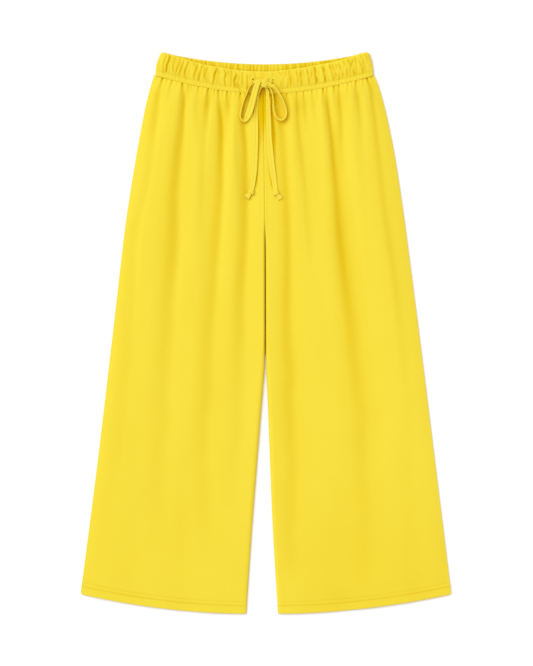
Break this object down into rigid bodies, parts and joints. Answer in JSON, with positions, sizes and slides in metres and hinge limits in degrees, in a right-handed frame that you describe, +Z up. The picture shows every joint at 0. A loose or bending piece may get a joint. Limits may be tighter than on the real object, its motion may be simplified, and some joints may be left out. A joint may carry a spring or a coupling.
{
  "type": "pyjama trousers",
  "caption": "Wide-leg cloth pyjama trousers laid flat face up, with a gathered elastic waistband and a flat drawstring tied in a bow.",
  "frame": {"origin": "centre of the box round the cloth, on the surface that the garment lies on", "axes": "+X towards the wearer's left leg, +Y from the hems to the waist, +Z up, out of the front of the garment"},
  "size_m": [0.649, 0.982, 0.0179],
  "materials": {
    "cloth": "plain matt yellow knit",
    "drawstring": "matt yellow tube of the same cloth, pressed flat"
  },
  "bodies": {
    "root": {"leg_front_r": "cloth", "leg_front_l": "cloth", "leg_back_r": "cloth", "leg_back_l": "cloth", "waistband_front": "cloth", "waistband_back": "cloth", "cord_lead_r": "drawstring", "cord_lead_l": "drawstring", "cord_loop_r": "drawstring", "cord_loop_l": "drawstring", "cord_tail_r": "drawstring", "cord_tail_l": "drawstring", "bow_knot": "drawstring", "tip_knot_r": "drawstring", "tip_knot_l": "drawstring"}
  },
  "joints": []
}
